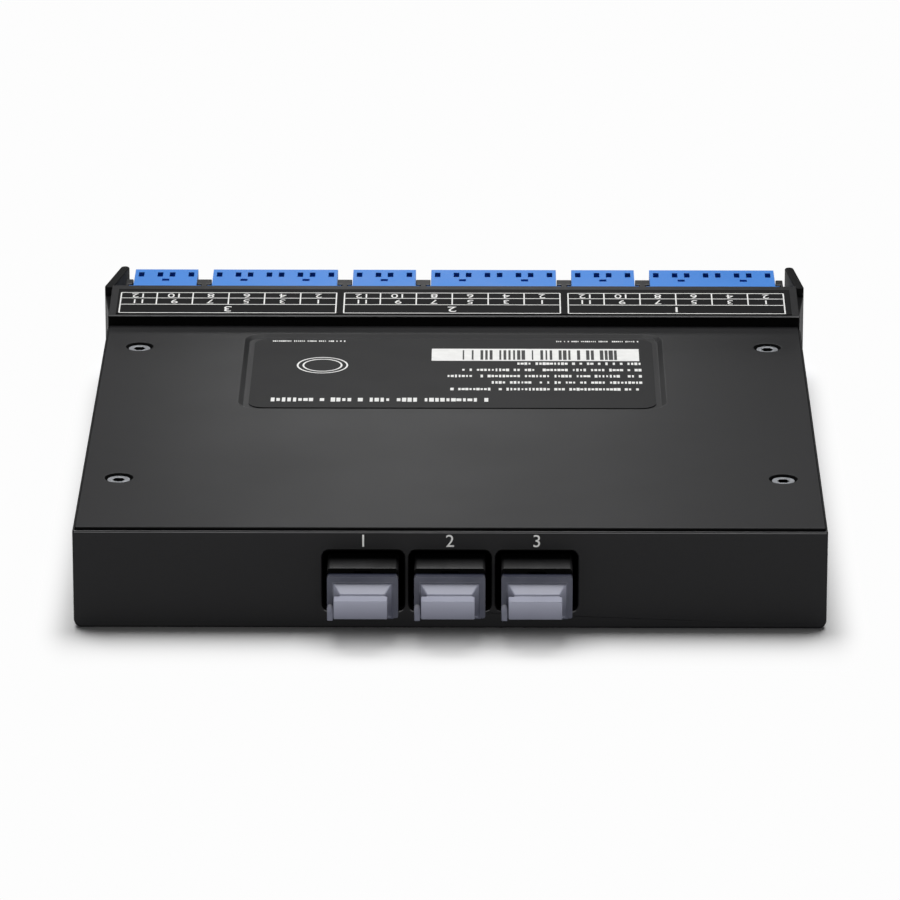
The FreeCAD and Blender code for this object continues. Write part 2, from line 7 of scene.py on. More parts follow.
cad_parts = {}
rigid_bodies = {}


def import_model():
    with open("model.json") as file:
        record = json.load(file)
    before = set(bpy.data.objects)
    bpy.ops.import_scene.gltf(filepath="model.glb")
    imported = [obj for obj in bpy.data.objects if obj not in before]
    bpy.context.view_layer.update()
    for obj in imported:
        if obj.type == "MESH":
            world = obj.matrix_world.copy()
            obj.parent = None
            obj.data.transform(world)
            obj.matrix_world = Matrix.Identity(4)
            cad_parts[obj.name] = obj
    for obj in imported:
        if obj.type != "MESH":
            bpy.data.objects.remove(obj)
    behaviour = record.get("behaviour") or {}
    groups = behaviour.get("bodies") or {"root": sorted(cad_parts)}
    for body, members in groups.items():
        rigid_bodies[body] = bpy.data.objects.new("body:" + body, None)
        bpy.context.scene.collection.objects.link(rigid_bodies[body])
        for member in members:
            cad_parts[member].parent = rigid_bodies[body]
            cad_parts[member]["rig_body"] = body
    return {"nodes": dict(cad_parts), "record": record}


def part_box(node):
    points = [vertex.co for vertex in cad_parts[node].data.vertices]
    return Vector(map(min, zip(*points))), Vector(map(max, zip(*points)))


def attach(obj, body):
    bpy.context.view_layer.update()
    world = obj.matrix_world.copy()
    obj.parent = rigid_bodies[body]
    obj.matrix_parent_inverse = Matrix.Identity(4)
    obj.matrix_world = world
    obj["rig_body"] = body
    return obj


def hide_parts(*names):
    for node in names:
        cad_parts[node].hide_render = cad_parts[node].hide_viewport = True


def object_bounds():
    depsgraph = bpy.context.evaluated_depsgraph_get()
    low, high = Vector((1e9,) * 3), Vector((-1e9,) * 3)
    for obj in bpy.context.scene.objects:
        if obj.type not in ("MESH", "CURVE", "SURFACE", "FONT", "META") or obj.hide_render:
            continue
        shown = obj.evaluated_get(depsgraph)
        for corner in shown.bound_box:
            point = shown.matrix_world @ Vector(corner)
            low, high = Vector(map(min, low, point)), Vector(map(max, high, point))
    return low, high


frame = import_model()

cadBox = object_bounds()
mm = 0.001
cassetteBody = frame["nodes"]["base_housing"]["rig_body"]
print("frame loaded:", len(frame["nodes"]), "nodes")


def linear(code):  # sRGB hex such as "#2b2b2c" to linear RGBA
    parts = [int(code[i:i + 2], 16) / 255 for i in (1, 3, 5)]
    parts = [c / 12.92 if c <= 0.04045 else ((c + 0.055) / 1.055) ** 2.4 for c in parts]
    return (*parts, 1.0)


def addNode(tree, kind, settings=None, inputs=None):  # inputs hold sockets to link or plain values
    node = tree.nodes.new(kind)
    for name, value in (settings or {}).items():
        setattr(node, name, value)
    for key, value in (inputs or {}).items():
        if isinstance(value, bpy.types.NodeSocket):
            tree.links.new(value, node.inputs[key])
        else:
            node.inputs[key].default_value = value
    return node


def newMaterial(name):
    material = bpy.data.materials.new(name)
    material.use_nodes = True
    material.node_tree.nodes.clear()
    return material, material.node_tree


# Black ABS out of a spark-eroded mould: a fine grain breaks up the gloss, and the sheen drifts
# a little over the wide faces. Its broken edges that face up and to the back get a lighter,
# glossier copy, whose lighter tone is a painted highlight. A near-black, matte copy is painted
# shade on the housing's rim top, the cover's rims and countersinks, the screws' sockets, the
# ridge's back, the
# MPO adapters' mouths and the housing's and bezel's broken edges that face aside or down. The
# acetal latches are blacker still than the plain ABS and hardly shine. The PBT adapters come from a
# polished mould, so their grain is faint and their sheen even. The polyethylene plugs are a little
# duller, as the vinyl fibre jackets are. "grain" and "drift" are the sizes of the two patterns and
# "depth" the height of the grain, in mm. The grain is drawn coarser than a real one, so that it
# shows.
plastics = {
    "texturedBlackAbs": {"dark": "#18181a", "light": "#1e1e1f", "grain": 0.35, "depth": 0.012,
                         "drift": 45, "rough": (0.40, 0.46), "ior": 1.53, "specular": 0.1},
    "latchBlackAcetal": {"dark": "#070708", "light": "#0d0d0e", "grain": 0.5, "depth": 0.006,
                         "drift": 20, "rough": (0.42, 0.52), "ior": 1.48, "specular": 0.04},
    "adapterBlackPbt": {"dark": "#121213", "light": "#1a1a1b", "grain": 0.4, "depth": 0.006,
                        "drift": 12, "rough": (0.38, 0.48), "ior": 1.55, "specular": 0.35},
    "plugBlackPolyethylene": {"dark": "#0d0d0e", "light": "#151516", "grain": 0.5,
                              "depth": 0.006, "drift": 8, "rough": (0.42, 0.52), "ior": 1.51,
                              "specular": 0.3},
    "adapterBluePbt": {"dark": "#387cd0", "light": "#4387da", "grain": 0.6, "depth": 0.004,
                       "drift": 9, "rough": (0.4, 0.5), "ior": 1.55, "specular": 0.12},
    "connectorBeigePbt": {"dark": "#b9ab8c", "light": "#cfc3a6", "grain": 0.6, "depth": 0.004,
                          "drift": 9, "rough": (0.36, 0.46), "ior": 1.55, "specular": 0.5},
    "fibreJacketAqua": {"dark": "#2aa6a4", "light": "#46c2bd", "grain": 0.8, "depth": 0.006,
                        "drift": 15, "rough": (0.45, 0.55), "ior": 1.5, "specular": 0.5},
    # Painted highlight: a lighter, glossier copy of the black ABS for broken edges that face up and
    # to the back.
    "paintedHighlightAbs": {"dark": "#262628", "light": "#303032", "grain": 0.35, "depth": 0.003,
                        "drift": 14, "rough": (0.34, 0.42), "ior": 1.53, "specular": 0.5},
    # Painted shade: a near-black copy of the black ABS for faces that lie in shade.
    "paintedShadeBlackAbs": {"dark": "#050505", "light": "#090909", "grain": 0.35, "depth": 0.006,
                      "drift": 14, "rough": (0.7, 0.8), "ior": 1.53, "specular": 0.02},
}
driftSpan = (0.35, 0.65)  # the part of the noise's range that its values mostly lie in


def mouldedPlastic(name, look):
    material, tree = newMaterial(name)
    place = addNode(tree, "ShaderNodeTexCoord").outputs["Object"]
    grain = addNode(tree, "ShaderNodeTexNoise", None,
                    {"Vector": place, "Scale": 1 / (look["grain"] * mm), "Detail": 2.0})
    drift = addNode(tree, "ShaderNodeTexNoise", None,
                    {"Vector": place, "Scale": 1 / (look["drift"] * mm), "Detail": 3.0})
    tone = addNode(tree, "ShaderNodeMix", {"data_type": "RGBA"},
                   {"Factor": drift.outputs["Fac"], "A": linear(look["dark"]),
                    "B": linear(look["light"])})
    gloss = addNode(tree, "ShaderNodeMapRange", None,
                    {"Value": drift.outputs["Fac"], "From Min": driftSpan[0],
                     "From Max": driftSpan[1], "To Min": look["rough"][0],
                     "To Max": look["rough"][1]})
    bump = addNode(tree, "ShaderNodeBump", None,
                   {"Height": grain.outputs["Fac"], "Distance": look["depth"] * mm})
    shader = addNode(tree, "ShaderNodeBsdfPrincipled", None,
                     {"Base Color": tone.outputs["Result"], "Roughness": gloss.outputs["Result"],
                      "IOR": look["ior"], "Specular IOR Level": look["specular"],
                      "Normal": bump.outputs["Normal"]})
    addNode(tree, "ShaderNodeOutputMaterial", None, {"Surface": shader.outputs["BSDF"]})
    return material


# Smoke-grey polyethylene, injection moulded, with a waxy surface. It lets some light through: the
# thin flange shows the black adapter behind it, and the thicker neck and grip look milky. The milky
# part turns to the greyer "low" tone lower down, which is painted shade. "high" and "deep" are the
# heights where that painted shade starts and ends, from the cap's middle, and "flange" and "fade"
# are where the milky part starts along the cap, in mm.
smokePolyethylene = {"thin": "#2a2d3e", "thick": "#a7a9ba", "low": "#6b6d7c",
                     "high": 1.6, "deep": -2.4, "cloud": 6, "cloudy": 0.1,
                     "rough": (0.3, 0.42), "ior": 1.51, "specular": 0.3, "clear": 0.08,
                     "grain": 0.5, "depth": 0.004, "flange": 1.9, "fade": 0.5}


def smokeCap():
    look = smokePolyethylene
    material, tree = newMaterial("smokePolyethylene")
    place = addNode(tree, "ShaderNodeTexCoord").outputs["Object"]
    cloud = addNode(tree, "ShaderNodeTexNoise", None,
                    {"Vector": place, "Scale": 1 / (look["cloud"] * mm), "Detail": 3.0})
    grain = addNode(tree, "ShaderNodeTexNoise", None,
                    {"Vector": place, "Scale": 1 / (look["grain"] * mm)})
    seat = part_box("mpo_adapter_1")[0].y
    along = addNode(tree, "ShaderNodeSeparateXYZ", None, {0: place})
    solid = addNode(tree, "ShaderNodeMapRange", {"interpolation_type": "SMOOTHSTEP"},
                    {"Value": along.outputs["Y"], "From Min": seat - look["flange"] * mm,
                     "From Max": seat - (look["flange"] + look["fade"]) * mm})
    capLow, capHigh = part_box("mpo_cap_1")
    middle = (capLow.z + capHigh.z) / 2
    # Painted shade: the milky colour darkens from "high" down to "deep".
    shadeByHeight = addNode(tree, "ShaderNodeMapRange", None,
                      {"Value": along.outputs["Z"], "From Min": middle + look["deep"] * mm,
                       "From Max": middle + look["high"] * mm})
    shadedBulk = addNode(tree, "ShaderNodeMix", {"data_type": "RGBA"},
                   {"Factor": shadeByHeight.outputs["Result"], "A": linear(look["low"]),
                    "B": linear(look["thick"])})
    patchy = addNode(tree, "ShaderNodeMapRange", None,
                     {"Value": cloud.outputs["Fac"], "To Min": -look["cloudy"],
                      "To Max": look["cloudy"]})
    milky = addNode(tree, "ShaderNodeMath", {"operation": "ADD", "use_clamp": True},
                    {0: solid.outputs["Result"], 1: patchy.outputs["Result"]})
    tone = addNode(tree, "ShaderNodeMix", {"data_type": "RGBA"},
                   {"Factor": milky.outputs[0], "A": linear(look["thin"]),
                    "B": shadedBulk.outputs["Result"]})
    gloss = addNode(tree, "ShaderNodeMapRange", None,
                    {"Value": cloud.outputs["Fac"], "To Min": look["rough"][0],
                     "To Max": look["rough"][1]})
    bump = addNode(tree, "ShaderNodeBump", None,
                   {"Height": grain.outputs["Fac"], "Distance": look["depth"] * mm})
    shader = addNode(tree, "ShaderNodeBsdfPrincipled", None,
                     {"Base Color": tone.outputs["Result"], "Roughness": gloss.outputs["Result"],
                      "IOR": look["ior"], "Specular IOR Level": look["specular"],
                      "Transmission Weight": look["clear"],
                      "Normal": bump.outputs["Normal"]})
    addNode(tree, "ShaderNodeOutputMaterial", None, {"Surface": shader.outputs["BSDF"]})
    return material


# Turned steel with a bright zinc plating: a cool metal with faint blotches and fine turning
# marks. "blotch" and "turning" are the sizes of the two patterns in mm.
zincSteel = {"dark": "#77797c", "light": "#929498", "blotch": 1.2, "turning": 0.12,
             "rough": (0.35, 0.5), "depth": 0.004}


def zincPlatedSteel():
    look = zincSteel
    material, tree = newMaterial("zincPlatedSteel")
    place = addNode(tree, "ShaderNodeTexCoord").outputs["Object"]
    blotch = addNode(tree, "ShaderNodeTexNoise", None,
                     {"Vector": place, "Scale": 1 / (look["blotch"] * mm), "Detail": 4.0})
    turning = addNode(tree, "ShaderNodeTexWave", {"bands_direction": "DIAGONAL"},
                      {"Vector": place, "Scale": 1 / (look["turning"] * mm), "Distortion": 4.0})
    tone = addNode(tree, "ShaderNodeMix", {"data_type": "RGBA"},
                   {"Factor": blotch.outputs["Fac"], "A": linear(look["dark"]),
                    "B": linear(look["light"])})
    gloss = addNode(tree, "ShaderNodeMapRange", None,
                    {"Value": blotch.outputs["Fac"], "To Min": look["rough"][0],
                     "To Max": look["rough"][1]})
    bump = addNode(tree, "ShaderNodeBump", None,
                   {"Height": turning.outputs["Fac"], "Distance": look["depth"] * mm})
    shader = addNode(tree, "ShaderNodeBsdfPrincipled", None,
                     {"Base Color": tone.outputs["Result"], "Roughness": gloss.outputs["Result"],
                      "Metallic": 1.0, "Normal": bump.outputs["Normal"]})
    addNode(tree, "ShaderNodeOutputMaterial", None, {"Surface": shader.outputs["BSDF"]})
    return material


# Black polyester label film: smoother than the housing, with the long soft waves of its adhesive.
# The port label's film is the same film drawn darker, as painted shade for its sloping ridge, and a
# little rougher. The screen inks on the films and on the housing are flat, with a tone that varies
# a little, as where the ink is thin. "wave" is the pattern's size in mm.
films = {
    "polyesterFilm": {"dark": "#1a1a1b", "light": "#202021", "wave": 9, "depth": 0.006,
                      "rough": (0.50, 0.58), "specular": 0.08},
    # Painted shade: the polyester film drawn darker for the port label on the ridge.
    "shadePaintedLabelFilm": {"dark": "#0c0c0d", "light": "#121213", "wave": 9, "depth": 0.006,
                       "rough": (0.6, 0.7), "specular": 0.05},
    "whiteScreenInk": {"dark": "#dcdcda", "light": "#f4f4f2", "wave": 1.5, "depth": 0.002,
                       "rough": (0.55, 0.65), "specular": 0.3},
    "blackScreenInk": {"dark": "#151515", "light": "#1d1d1d", "wave": 1.5, "depth": 0.002,
                       "rough": (0.5, 0.6), "specular": 0.3},
}


def printedFilm(name, look):
    material, tree = newMaterial(name)
    place = addNode(tree, "ShaderNodeTexCoord").outputs["Object"]
    wave = addNode(tree, "ShaderNodeTexNoise", None,
                   {"Vector": place, "Scale": 1 / (look["wave"] * mm), "Detail": 2.0})
    tone = addNode(tree, "ShaderNodeMix", {"data_type": "RGBA"},
                   {"Factor": wave.outputs["Fac"], "A": linear(look["dark"]),
                    "B": linear(look["light"])})
    gloss = addNode(tree, "ShaderNodeMapRange", None,
                    {"Value": wave.outputs["Fac"], "To Min": look["rough"][0],
                     "To Max": look["rough"][1]})
    bump = addNode(tree, "ShaderNodeBump", None,
                   {"Height": wave.outputs["Fac"], "Distance": look["depth"] * mm})
    shader = addNode(tree, "ShaderNodeBsdfPrincipled", None,
                     {"Base Color": tone.outputs["Result"], "Roughness": gloss.outputs["Result"],
                      "Specular IOR Level": look["specular"], "Normal": bump.outputs["Normal"]})
    addNode(tree, "ShaderNodeOutputMaterial", None, {"Surface": shader.outputs["BSDF"]})
    return material


finish = {name: mouldedPlastic(name, look) for name, look in plastics.items()}
finish.update({name: printedFilm(name, look) for name, look in films.items()})
finish["smokePolyethylene"] = smokeCap()
finish["zincPlatedSteel"] = zincPlatedSteel()
print("materials:", len(finish))

slotFinish = {
    "housing_plastic": "texturedBlackAbs", "latch_plastic": "latchBlackAcetal",
    "adapter_blue": "adapterBluePbt", "adapter_black": "adapterBlackPbt",
    "cap_clear_grey": "smokePolyethylene", "plug_black": "plugBlackPolyethylene",
    "screw_steel": "zincPlatedSteel", "label_film": "polyesterFilm",
    "connector_plastic": "connectorBeigePbt", "fibre_jacket": "fibreJacketAqua",
}
nodeFinish = {"port_label_strip": "shadePaintedLabelFilm"}  # nodes with another finish than their slot's
nodeSlot = {part["node"]: part["material_slot"] for part in frame["record"]["subparts"]}
moulded = {  # families of pieces go by the start of the node's name
    "edges": {"base_housing": 0.35, "top_cover": 0.12, "front_bezel": 0.15, "lc_adapter": 0.1,
              "lc_dust_plug": 0.2, "mpo_adapter": 0.15, "mpo_cap": 0.22, "latch_left": 0.3,
              "latch_right": 0.3, "cover_screws": 0.08},  # radius of the broken edges, mm
    "segments": 3,
    "sharper": 25,  # degrees; edges that turn by more are broken
    "shortest": {"mpo_cap": 0.3},  # mm; edges under this length stay sharp, such as a small arc's
    "weld": 0.0005,  # mm; points closer than this are merged
    "flat": 0.5,  # degrees; faces that turn by less become one
    "edgePainted": ("base_housing", "front_bezel"),  # pieces whose broken edges get painted highlight and painted shade
}
paintedShadeIndex, paintedHighlightIndex = 1, 2  # places in a piece's list of materials, after its own at 0

# Which faces of a family get the near-black painted shade: the housing's rim top, the cover's rims
# and countersinks, the screws' sockets, the ridge's back and the MPO adapters' mouths, which lie in
# shade. The "slant" values are parts of a face's normal: 1 is a face square to the axis, 0 one
# along it. A face within "close", in mm, of its piece's box lies on it, and the countersinks lie
# farther out than "corner" of the cover's half width.
paintedShadeFaces = {"base_housing": "top", "top_cover": "rim", "cover_screws": "sunk",
              "front_bezel": "back", "mpo_adapter": "mouth"}
slant = {"top": 0.9, "upright": 0.1, "back": 0.8, "mouth": 0.9}
paintedShadeEdge = {"close": 0.02, "corner": 0.75}


def placed(name, mesh, body, replaced=()):  # puts a finished mesh into the model
    piece = bpy.data.objects.new(name, mesh)
    bpy.context.scene.collection.objects.link(piece)
    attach(piece, body)
    if replaced:
        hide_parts(*replaced)


def byFamily(values, node):  # the value of the family that the node's name starts with, or 0
    return next((value for start, value in values.items() if node.startswith(start)), 0)


# True where a face gets the near-black painted shade.
def isMatte(kind, face, low, high):  # low and high are the corners of the piece's box
    normal = face.normal
    middle = face.calc_center_median()
    close = paintedShadeEdge["close"] * mm
    if kind == "top":
        return normal.z > slant["top"] and middle.z > high.z - close
    if kind == "rim":
        past = max(abs(middle.x) - high.x, low.y - middle.y, middle.y - high.y)
        countersink = (0 < normal.z < slant["top"]
                       and abs(middle.x) > paintedShadeEdge["corner"] * high.x)
        return abs(normal.z) < slant["upright"] and past > -close or countersink
    if kind == "back":
        return normal.y < -slant["back"]
    if kind == "mouth":
        return normal.y < -slant["mouth"] and middle.y < low.y + close
    return kind == "sunk" and middle.z < high.z - close


# A broken edge gets a lighter painted highlight where it faces up and to the rear, and near-black
# painted shade where it faces aside or down, once its normal leans that way by these amounts.
edgeLean = {"aside": 0.3, "down": 0.2, "up": 0.2, "rear": 0.2}


def edgeFinish(normal):
    if abs(normal.x) > edgeLean["aside"] or normal.z < -edgeLean["down"]:
        return paintedShadeIndex
    shines = normal.z > edgeLean["up"] and normal.y < -edgeLean["rear"]
    return paintedHighlightIndex if shines else 0


def softEdged(node, radius):  # a copy of the CAD piece, merged and with its edges broken
    cad = frame["nodes"][node]
    mesh = cad.data.copy()
    mesh.materials.clear()
    mesh.materials.append(finish[slotFinish[nodeSlot[node]]])
    shadeKind = byFamily(paintedShadeFaces, node)
    edgePainted = node in moulded["edgePainted"]
    # Pieces with shaded faces get the painted-shade copy; the housing and bezel also the
    # painted-highlight copy.
    if shadeKind or edgePainted:
        mesh.materials.append(finish["paintedShadeBlackAbs"])
    if edgePainted:
        mesh.materials.append(finish["paintedHighlightAbs"])
    low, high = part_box(node)
    shape = bmesh.new()
    shape.from_mesh(mesh)
    bmesh.ops.remove_doubles(shape, verts=shape.verts, dist=moulded["weld"] * mm)
    bmesh.ops.dissolve_limit(shape, angle_limit=math.radians(moulded["flat"]),
                             verts=shape.verts, edges=shape.edges)
    # Faces that lie in shade get the near-black painted shade; the rest keep the piece's own
    # finish.
    for face in shape.faces:
        face.smooth = True
        face.material_index = paintedShadeIndex if isMatte(shadeKind, face, low, high) else 0
    weights = shape.edges.layers.float.new("bevel_weight_edge")
    sharper = math.radians(moulded["sharper"])
    shortest = byFamily(moulded["shortest"], node) * mm
    for edge in shape.edges:
        if edge.calc_length() > shortest and edge.calc_face_angle(0) > sharper:
            edge[weights] = 1.0
    shape.to_mesh(mesh)
    shape.free()
    holder = bpy.data.objects.new(node + "_moulded", mesh)
    bpy.context.scene.collection.objects.link(holder)
    bevel = holder.modifiers.new("broken edges", "BEVEL")
    bevel.width = radius * mm
    bevel.segments = moulded["segments"]
    bevel.limit_method = "WEIGHT"
    bevel.use_clamp_overlap = False
    # All broken edges start on the painted-highlight copy.
    if edgePainted:
        bevel.material = paintedHighlightIndex
    flats = holder.modifiers.new("true flats", "WEIGHTED_NORMAL")
    flats.keep_sharp = True
    view = bpy.context.evaluated_depsgraph_get()
    soft = bpy.data.meshes.new_from_object(holder.evaluated_get(view),
                                           preserve_all_data_layers=True, depsgraph=view)
    bpy.data.objects.remove(holder)
    # Each broken edge then keeps the painted highlight, or takes painted shade or the plain finish,
    # by the way it faces.
    for face in soft.polygons:
        if face.material_index == paintedHighlightIndex:
            face.material_index = edgeFinish(face.normal)
    placed(node + "_moulded", soft, cad["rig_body"], (node,))


for node, cad in frame["nodes"].items():
    radius = byFamily(moulded["edges"], node)
    if radius:
        softEdged(node, radius)
    else:
        cad.data.materials.clear()
        cad.data.materials.append(finish[nodeFinish.get(node, slotFinish[nodeSlot[node]])])
print("moulded pieces done")

ink = {"thick": 0.02, "lift": 0.01}  # mm; the print stands this far off its ground
lettering = {"typeSize": 1.4, "curveSteps": 4}  # type size for a figure of height 1
ringSides = 48
heightSeed = 7  # added to a row's seed, so that heights don't follow the widths


# A row of upright strokes on a line along X, each with a random width and height. "Gaps" is the
# share of strokes left out.
def strokeTree():
    tree = bpy.data.node_groups.new("row of printed strokes", "GeometryNodeTree")
    face = tree.interface
    for name, kind, value in (("Start", "NodeSocketVector", (0, 0, 0)),
                              ("Pitch", "NodeSocketFloat", 1 * mm), ("Count", "NodeSocketInt", 5),
                              ("Narrow", "NodeSocketFloat", 1 * mm),
                              ("Wide", "NodeSocketFloat", 1 * mm),
                              ("Short", "NodeSocketFloat", 1 * mm),
                              ("Tall", "NodeSocketFloat", 1 * mm),
                              ("Thickness", "NodeSocketFloat", 0.02 * mm),
                              ("Gaps", "NodeSocketFloat", 0.0), ("Seed", "NodeSocketInt", 1)):
        face.new_socket(name, in_out="INPUT", socket_type=kind).default_value = value
    face.new_socket("Ink", in_out="INPUT", socket_type="NodeSocketMaterial")
    face.new_socket("Geometry", in_out="OUTPUT", socket_type="NodeSocketGeometry")
    given = addNode(tree, "NodeGroupInput").outputs
    step = addNode(tree, "ShaderNodeCombineXYZ", None, {"X": given["Pitch"]})
    line = addNode(tree, "GeometryNodeMeshLine", {"mode": "OFFSET"},
                   {"Count": given["Count"], "Start Location": given["Start"],
                    "Offset": step.outputs["Vector"]})
    drop = addNode(tree, "FunctionNodeRandomValue", {"data_type": "BOOLEAN"},
                   {"Probability": given["Gaps"], "Seed": given["Seed"]})
    kept = addNode(tree, "GeometryNodeDeleteGeometry", {"domain": "POINT"},
                   {"Geometry": line.outputs["Mesh"], "Selection": drop.outputs[3]})
    width = addNode(tree, "FunctionNodeRandomValue", {"data_type": "FLOAT"},
                    {2: given["Narrow"], 3: given["Wide"], "Seed": given["Seed"]})
    later = addNode(tree, "FunctionNodeIntegerMath", {"operation": "ADD"},
                    {0: given["Seed"], 1: heightSeed})
    height = addNode(tree, "FunctionNodeRandomValue", {"data_type": "FLOAT"},
                     {2: given["Short"], 3: given["Tall"], "Seed": later.outputs[0]})
    size = addNode(tree, "ShaderNodeCombineXYZ", None,
                   {"X": width.outputs[1], "Y": height.outputs[1], "Z": given["Thickness"]})
    bar = addNode(tree, "GeometryNodeMeshCube", None, {"Size": (1, 1, 1)})
    row = addNode(tree, "GeometryNodeInstanceOnPoints", None,
                  {"Points": kept.outputs["Geometry"], "Instance": bar.outputs["Mesh"],
                   "Scale": size.outputs["Vector"]})
    real = addNode(tree, "GeometryNodeRealizeInstances", None, {0: row.outputs[0]})
    inked = addNode(tree, "GeometryNodeSetMaterial", None,
                    {"Geometry": real.outputs[0], "Material": given["Ink"]})
    addNode(tree, "NodeGroupOutput", None, {"Geometry": inked.outputs["Geometry"]})
    return tree


strokes = strokeTree()
unscaled = ("Count", "Gaps", "Seed")  # the tree's inputs that aren't lengths


def strokeRow(inkName, sizes):  # one plain mesh from the stroke tree; sizes in mm
    holder = bpy.data.objects.new("strokes", bpy.data.meshes.new("strokes"))
    bpy.context.scene.collection.objects.link(holder)
    modifier = holder.modifiers.new("strokes", "NODES")
    modifier.node_group = strokes
    values = {name: value if name in unscaled else value * mm
              for name, value in sizes.items() if name != "Start"}
    values["Start"] = tuple(part * mm for part in sizes["Start"])
    values["Ink"] = finish[inkName]
    for item in strokes.interface.items_tree:
        if item.in_out == "INPUT":
            modifier[item.identifier] = values[item.name]
    view = bpy.context.evaluated_depsgraph_get()
    mesh = bpy.data.meshes.new_from_object(holder.evaluated_get(view))
    holder.modifiers.remove(modifier)
    bpy.data.objects.remove(holder)
    return mesh


def numberMesh(text, height, x, y):  # plain figures, centred on a point; sizes in mm
    curve = bpy.data.curves.new("number", "FONT")
    curve.body = text
    curve.align_x = "CENTER"
    curve.align_y = "CENTER"
    curve.size = height * lettering["typeSize"] * mm
    curve.extrude = ink["thick"] / 2 * mm
    curve.resolution_u = lettering["curveSteps"]
    holder = bpy.data.objects.new("number", curve)
    bpy.context.scene.collection.objects.link(holder)
    view = bpy.context.evaluated_depsgraph_get()
    mesh = bpy.data.meshes.new_from_object(holder.evaluated_get(view))
    bpy.data.objects.remove(holder)
    mesh.transform(Matrix.Translation((x * mm, y * mm, 0)))
    return mesh


def barMesh(x0, x1, y0, y1):  # a flat printed bar, in mm
    shape = bmesh.new()
    bmesh.ops.create_cube(shape, size=1)
    middle = Matrix.Translation(((x0 + x1) / 2 * mm, (y0 + y1) / 2 * mm, 0))
    shape.transform(middle @ Matrix.Diagonal(((x1 - x0) * mm, (y1 - y0) * mm,
                                              ink["thick"] * mm, 1)))
    mesh = bpy.data.meshes.new("bar")
    shape.to_mesh(mesh)
    shape.free()
    return mesh


def ringMesh(x, y, outer, inner):  # a flat printed ring, in mm
    shape = bmesh.new()
    turns = [2 * math.pi * i / ringSides for i in range(ringSides)]
    loops = []
    for radius, z in ((outer, -0.5), (outer, 0.5), (inner, 0.5), (inner, -0.5)):
        loops.append([shape.verts.new(((x + radius * math.cos(t)) * mm,
                                       (y + radius * math.sin(t)) * mm,
                                       z * ink["thick"] * mm)) for t in turns])
    for first, second in zip(loops, loops[1:] + loops[:1]):
        for i in range(ringSides):
            j = (i + 1) % ringSides
            shape.faces.new((first[i], first[j], second[j], second[i]))
    bmesh.ops.recalc_face_normals(shape, faces=shape.faces)
    mesh = bpy.data.meshes.new("ring")
    shape.to_mesh(mesh)
    shape.free()
    return mesh


def printed(name, meshes, ground, inkName, lift=0.0):  # joins meshes on their ground
    whole = bmesh.new()
    for mesh in meshes:
        whole.from_mesh(mesh)
        bpy.data.meshes.remove(mesh)
    raised = (ink["lift"] + lift + ink["thick"] / 2) * mm
    whole.transform(ground @ Matrix.Translation((0, 0, raised)))
    mesh = bpy.data.meshes.new(name)
    whole.to_mesh(mesh)
    whole.free()
    mesh.materials.append(finish[inkName])
    for face in mesh.polygons:
        face.material_index = 0
    placed(name, mesh, cassetteBody)


# The big label lies in the recess of the cover and reads from the LC side. Its own frame has
# x along the lines from the left edge and y up from the top edge, so every y is negative. A line
# is its height y and its two ends. Sizes in mm.
bigLabel = {
    "fieldLeft": 2.7, "fieldRight": 43.2, "fieldTop": -28.6, "fieldBottom": -36.1,
    "barPitch": 0.9, "barEnds": 4.6, "barWidths": (0.22, 0.84), "barGaps": 0.22, "barSeed": 5,
    "barTall": 0.78, "barMiddle": 0.52,  # shares of the white field's height
    "lines": ((-11.2, 2.7, 41.2), (-15.3, 2.7, 32.4), (-19.2, 2.7, 40.8), (-23.0, 2.7, 37.9),
              (-26.9, 2.7, 27.1)),
    "lineHeight": 1.7, "lineSeed": 11, "title": (-4.7, 32.5, 75.2), "titleHeight": 2.5,
    "titleSeed": 41, "small": ((-40.8, 2.8, 19.4), (-40.8, 60.4, 74.9)), "smallHeight": 0.9,
    "smallSeed": 31, "ring": (64.4, -25.7), "ringRadius": 5.0, "ringLine": 0.35, "ringGap": 1.1,
}
# Plain strokes that stand for lettering: the pitch and the least height are shares of the line's
# height, and the widths are shares of the pitch.
greeking = {"pitch": 0.42, "short": 0.6, "narrow": 0.45, "wide": 0.92, "gaps": 0.16}


def greekedLine(y, x0, x1, height, seed):
    pitch = height * greeking["pitch"]
    return strokeRow("whiteScreenInk", {
        "Start": (x0, y, 0), "Pitch": pitch, "Count": int((x1 - x0) / pitch),
        "Narrow": pitch * greeking["narrow"], "Wide": pitch * greeking["wide"],
        "Short": height * greeking["short"], "Tall": height,
        "Thickness": ink["thick"], "Gaps": greeking["gaps"], "Seed": seed})


low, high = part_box("recess_label")
ground = Matrix.Translation((high.x, low.y, high.z)) @ Matrix.Rotation(math.pi, 4, "Z")
lines = [greekedLine(*line, bigLabel["lineHeight"], bigLabel["lineSeed"] + i)
         for i, line in enumerate(bigLabel["lines"])]
lines += [greekedLine(*line, bigLabel["smallHeight"], bigLabel["smallSeed"] + i)
          for i, line in enumerate(bigLabel["small"])]
lines.append(greekedLine(*bigLabel["title"], bigLabel["titleHeight"], bigLabel["titleSeed"]))
ringX, ringY = bigLabel["ring"]
for radius in (bigLabel["ringRadius"], bigLabel["ringRadius"] - bigLabel["ringGap"]):
    lines.append(ringMesh(ringX, ringY, radius, radius - bigLabel["ringLine"]))
lines.append(barMesh(bigLabel["fieldLeft"], bigLabel["fieldRight"], bigLabel["fieldBottom"],
                     bigLabel["fieldTop"]))
printed("big_label_print", lines, ground, "whiteScreenInk")

